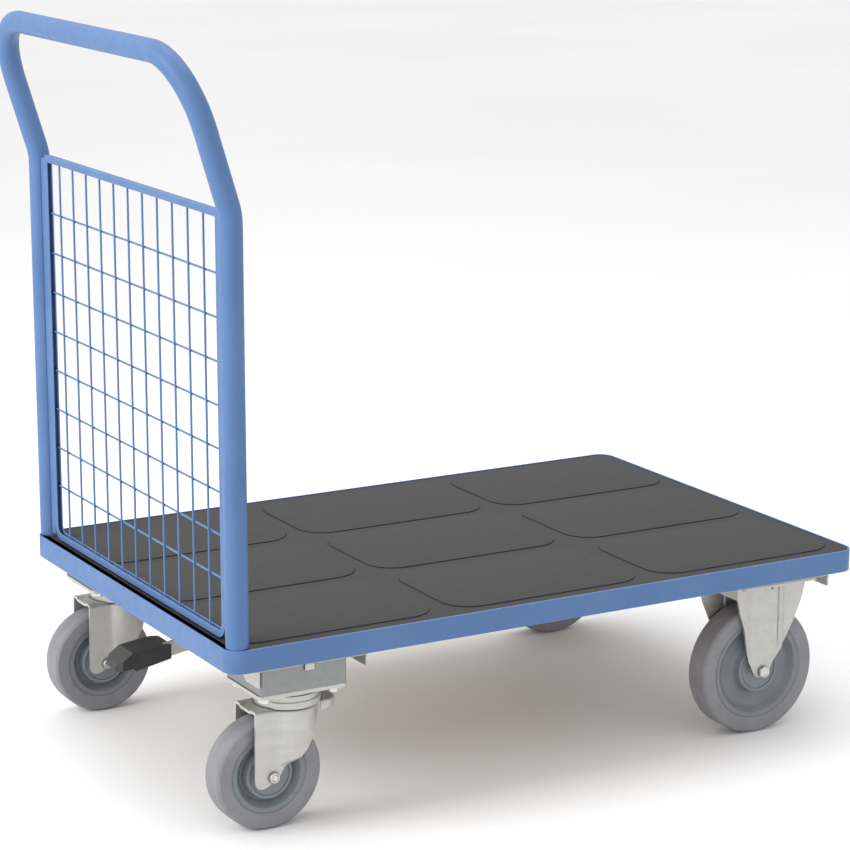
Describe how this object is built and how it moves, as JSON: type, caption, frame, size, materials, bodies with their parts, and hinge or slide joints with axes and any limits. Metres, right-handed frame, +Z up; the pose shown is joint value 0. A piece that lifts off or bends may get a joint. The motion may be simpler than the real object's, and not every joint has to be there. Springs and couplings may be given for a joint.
{
  "type": "platform cart",
  "caption": "Platform cart with a padded load deck, a fixed mesh end with push handle, a foot brake, two swivel castors and two fixed castors.",
  "frame": {"origin": "on the floor, at the middle of the cart's bounding box", "axes": "+Z up, +X along the deck from the handle end to the far end, +Y across the deck to the left side of a person who pushes"},
  "size_m": [1.109, 0.7, 1.091],
  "materials": {
    "blue_paint": "satin",
    "zinc_steel": "satin",
    "box_steel": "satin",
    "bright_steel": "satin",
    "mat_rubber": "matte",
    "plywood": "matte",
    "tyre_rubber": "matte",
    "hub_plastic": "satin",
    "pedal_plastic": "satin"
  },
  "bodies": {
    "deck": {"deck_rim": "blue_paint", "deck_board": "plywood", "deck_mat": "mat_rubber", "deck_rails": "zinc_steel", "cross_member_rear": "zinc_steel", "cross_member_front": "zinc_steel", "rail_screws": "bright_steel", "corner_plates": "zinc_steel", "handle_bolts": "bright_steel", "handle_tube": "blue_paint", "mesh_frame": "blue_paint", "mesh_wires_upright": "blue_paint", "mesh_wires_level": "blue_paint", "mesh_strips": "blue_paint", "castor_bolts": "bright_steel", "castor_nuts": "bright_steel", "brake_box_right": "box_steel", "brake_box_left": "box_steel", "swivel_plate_right": "zinc_steel", "swivel_plate_left": "zinc_steel", "kingpins": "bright_steel", "fixed_fork_right": "zinc_steel", "fixed_fork_left": "zinc_steel", "fixed_axles": "bright_steel", "fixed_sleeves": "bright_steel"},
    "brake": {"brake_shaft": "bright_steel", "brake_cams": "zinc_steel", "roll_pins": "bright_steel", "pedal_lever": "zinc_steel", "foot_pad": "pedal_plastic", "return_spring": "bright_steel"},
    "plunger_right_body": {"plunger_right": "bright_steel"},
    "swivel_right": {"swivel_balls_right": "bright_steel", "swivel_fork_right": "zinc_steel", "swivel_axle_right": "bright_steel", "swivel_sleeve_right": "bright_steel"},
    "swivel_wheel_right": {"swivel_hub_right": "hub_plastic", "swivel_tyre_right": "tyre_rubber", "swivel_bearings_right": "bright_steel", "swivel_guards_right": "hub_plastic"},
    "fixed_wheel_right": {"fixed_hub_right": "hub_plastic", "fixed_tyre_right": "tyre_rubber", "fixed_bearings_right": "bright_steel", "fixed_guards_right": "hub_plastic"},
    "plunger_left_body": {"plunger_left": "bright_steel"},
    "swivel_left": {"swivel_balls_left": "bright_steel", "swivel_fork_left": "zinc_steel", "swivel_axle_left": "bright_steel", "swivel_sleeve_left": "bright_steel"},
    "swivel_wheel_left": {"swivel_hub_left": "hub_plastic", "swivel_tyre_left": "tyre_rubber", "swivel_bearings_left": "bright_steel", "swivel_guards_left": "hub_plastic"},
    "fixed_wheel_left": {"fixed_hub_left": "hub_plastic", "fixed_tyre_left": "tyre_rubber", "fixed_bearings_left": "bright_steel", "fixed_guards_left": "hub_plastic"}
  },
  "joints": [
    {"name": "brake_pedal", "type": "hinge", "parent": "deck", "child": "brake", "pos_m": [-0.3505, 0, 0.224], "axis": [0, -1, 0], "range_deg": [0, 12], "stiffness_Nm_per_rad": 4, "springref_deg": -11.46},
    {"name": "plunger_right_slide", "type": "slide", "parent": "deck", "child": "plunger_right_body", "axis": [0, 0, -1], "range_m": [0, 0.00645]},
    {"name": "swivel_right_turn", "type": "hinge", "parent": "deck", "child": "swivel_right", "pos_m": [-0.3815, -0.29, 0.187], "axis": [0, 0, 1], "continuous": true},
    {"name": "swivel_wheel_right_roll", "type": "hinge", "parent": "swivel_right", "child": "swivel_wheel_right", "pos_m": [-0.4195, -0.29, 0.08], "axis": [0, 1, 0], "continuous": true},
    {"name": "fixed_wheel_right_roll", "type": "hinge", "parent": "deck", "child": "fixed_wheel_right", "pos_m": [0.4055, -0.29, 0.1], "axis": [0, 1, 0], "continuous": true},
    {"name": "plunger_left_slide", "type": "slide", "parent": "deck", "child": "plunger_left_body", "axis": [0, 0, -1], "range_m": [0, 0.00645]},
    {"name": "swivel_left_turn", "type": "hinge", "parent": "deck", "child": "swivel_left", "pos_m": [-0.3815, 0.29, 0.187], "axis": [0, 0, 1], "continuous": true},
    {"name": "swivel_wheel_left_roll", "type": "hinge", "parent": "swivel_left", "child": "swivel_wheel_left", "pos_m": [-0.4195, 0.29, 0.08], "axis": [0, 1, 0], "continuous": true},
    {"name": "fixed_wheel_left_roll", "type": "hinge", "parent": "deck", "child": "fixed_wheel_left", "pos_m": [0.4055, 0.29, 0.1], "axis": [0, 1, 0], "continuous": true}
  ],
  "couplings": [
    {"joint": "plunger_right_slide", "follows": "brake_pedal", "m_per_rad": 0.030774},
    {"joint": "plunger_left_slide", "follows": "brake_pedal", "m_per_rad": 0.030774}
  ]
}
